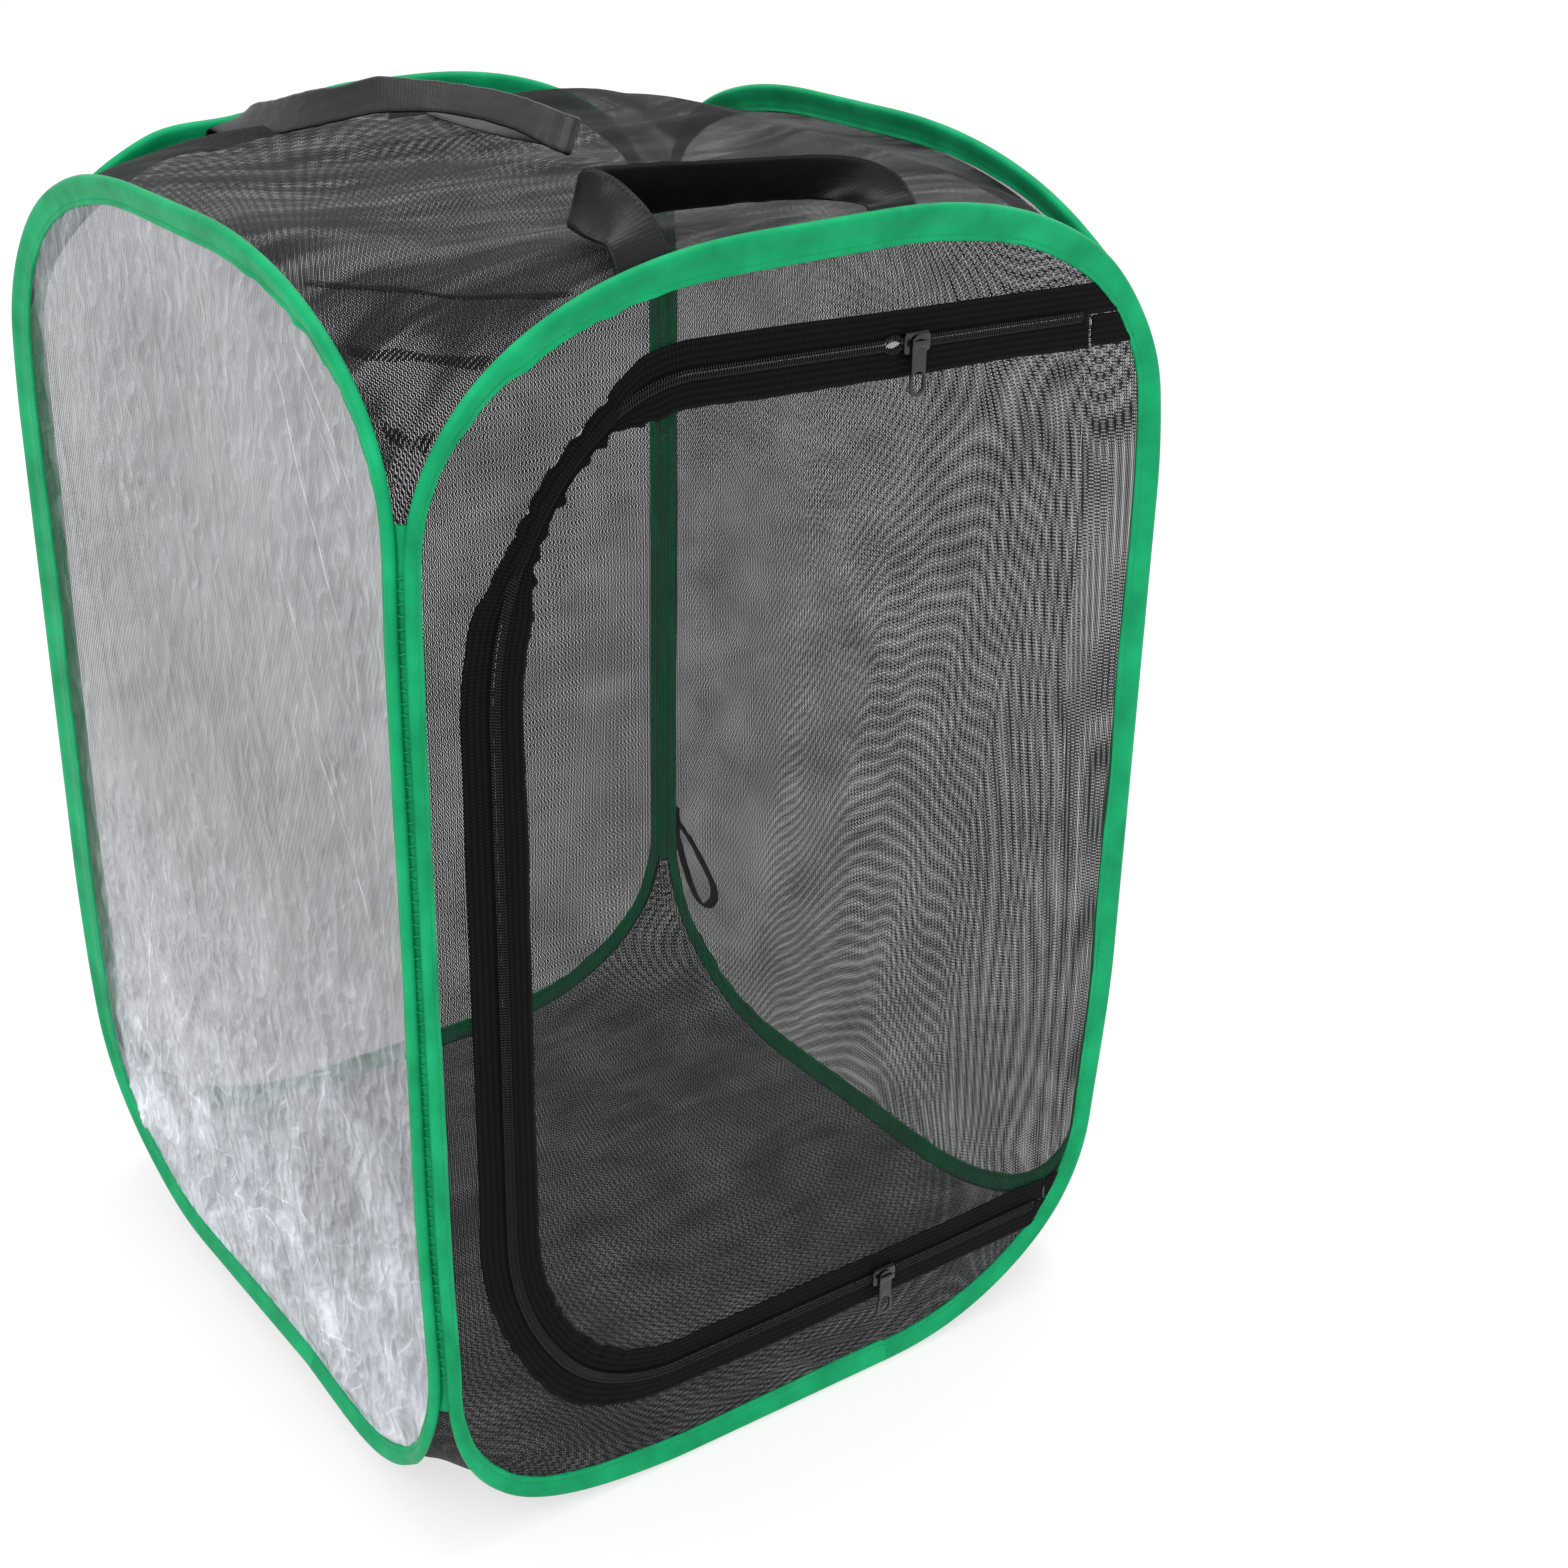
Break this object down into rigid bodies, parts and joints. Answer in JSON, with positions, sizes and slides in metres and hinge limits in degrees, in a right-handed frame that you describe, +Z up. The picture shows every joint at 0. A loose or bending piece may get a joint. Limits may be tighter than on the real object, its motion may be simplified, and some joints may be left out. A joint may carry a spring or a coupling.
{
  "type": "insect cage",
  "caption": "Tall pop-up mesh cage on sprung wire hoops, with a zipped door flap, a clear film window, carrying straps and a hanging loop.",
  "frame": {"origin": "middle of the flat underside of the floor, on the surface that the cage stands on", "axes": "+Z up; -Y faces out of the front wall with the door; -X faces out of the wall with the clear window"},
  "size_m": [0.4331, 0.4043, 0.6251],
  "materials": {
    "binding_fabric": "green woven polyester binding tape, slight sheen, stitched near its inner edge",
    "mesh_fabric": "fine black knitted polyester mesh, see-through",
    "floor_fabric": "fine black knitted polyester mesh, doubled",
    "clear_film": "thin clear crinkled PVC film",
    "zip_tape": "black ribbed polyester zip tape",
    "zip_coil": "black nylon coil",
    "zip_metal": "black enamelled die-cast zinc",
    "spring_wire": "drawn spring-steel wire",
    "ferrule": "crimped steel sleeve",
    "strap": "black satin ribbon strap with stitched edges",
    "elastic": "black flat braided elastic",
    "seam_thread": "green sewing thread"
  },
  "bodies": {
    "front": {"front_binding": "binding_fabric", "front_hoop_wire": "spring_wire", "front_wire_ferrule": "ferrule", "front_mesh": "mesh_fabric", "frame_zip_tape": "zip_tape", "frame_zip_coil": "zip_coil", "top_zip_stop": "zip_metal", "bottom_zip_stop": "zip_metal", "front_handle": "strap", "top_mesh": "mesh_fabric", "floor_mesh": "floor_fabric", "front_left_seam": "seam_thread", "front_right_seam": "seam_thread"},
    "door": {"door_mesh": "mesh_fabric", "door_zip_tape": "zip_tape", "door_zip_coil": "zip_coil"},
    "upper_slider": {"top_slider": "zip_metal"},
    "upper_pull": {"top_slider_pull": "zip_metal"},
    "lower_slider": {"bottom_slider": "zip_metal"},
    "lower_pull": {"bottom_slider_pull": "zip_metal"},
    "right": {"right_binding": "binding_fabric", "right_hoop_wire": "spring_wire", "right_wire_ferrule": "ferrule", "right_mesh": "mesh_fabric", "back_right_seam": "seam_thread", "elastic_loop": "elastic"},
    "back": {"back_binding": "binding_fabric", "back_hoop_wire": "spring_wire", "back_wire_ferrule": "ferrule", "back_mesh": "mesh_fabric", "back_handle": "strap"},
    "left": {"left_binding": "binding_fabric", "left_hoop_wire": "spring_wire", "left_wire_ferrule": "ferrule", "left_window": "clear_film", "back_left_seam": "seam_thread"}
  },
  "joints": [
    {"name": "fold", "type": "hinge", "parent": "front", "child": "right", "pos_m": [0.19425, -0.19425, 0.3], "axis": [0, 0, 1], "range_deg": [-89.5, 0], "stiffness_Nm_per_rad": 0.05, "deforming": ["top_mesh", "floor_mesh"]},
    {"name": "left_fold", "type": "hinge", "parent": "front", "child": "left", "pos_m": [-0.19425, -0.19425, 0.3], "axis": [0, 0, 1], "range_deg": [-89.5, 0]},
    {"name": "back_fold", "type": "hinge", "parent": "right", "child": "back", "pos_m": [0.19425, 0.19425, 0.3], "axis": [0, 0, -1], "range_deg": [-89.5, 0]},
    {"name": "door_swing", "type": "hinge", "parent": "front", "child": "door", "pos_m": [0.158, -0.1977, 0.2985], "axis": [-0.0334, 0, 0.9994], "range_deg": [0, 110]},
    {"name": "upper_slider_travel", "type": "slide", "parent": "door", "child": "upper_slider", "axis": [0.9989, 0, -0.0465], "range_m": [-0.104, 0.074]},
    {"name": "upper_pull_swing", "type": "hinge", "parent": "upper_slider", "child": "upper_pull", "pos_m": [0.049, -0.20265, 0.5427], "axis": [0, -1, 0], "range_deg": [-85, 85]},
    {"name": "lower_slider_travel", "type": "slide", "parent": "door", "child": "lower_slider", "axis": [1, 0, 0], "range_m": [-0.115, 0.083]},
    {"name": "lower_pull_swing", "type": "hinge", "parent": "lower_slider", "child": "lower_pull", "pos_m": [0.056, -0.20265, 0.059], "axis": [0, -1, 0], "range_deg": [-85, 85]}
  ],
  "couplings": [
    {"joint": "left_fold", "follows": "fold", "ratio": 1},
    {"joint": "back_fold", "follows": "fold", "ratio": 1}
  ]
}
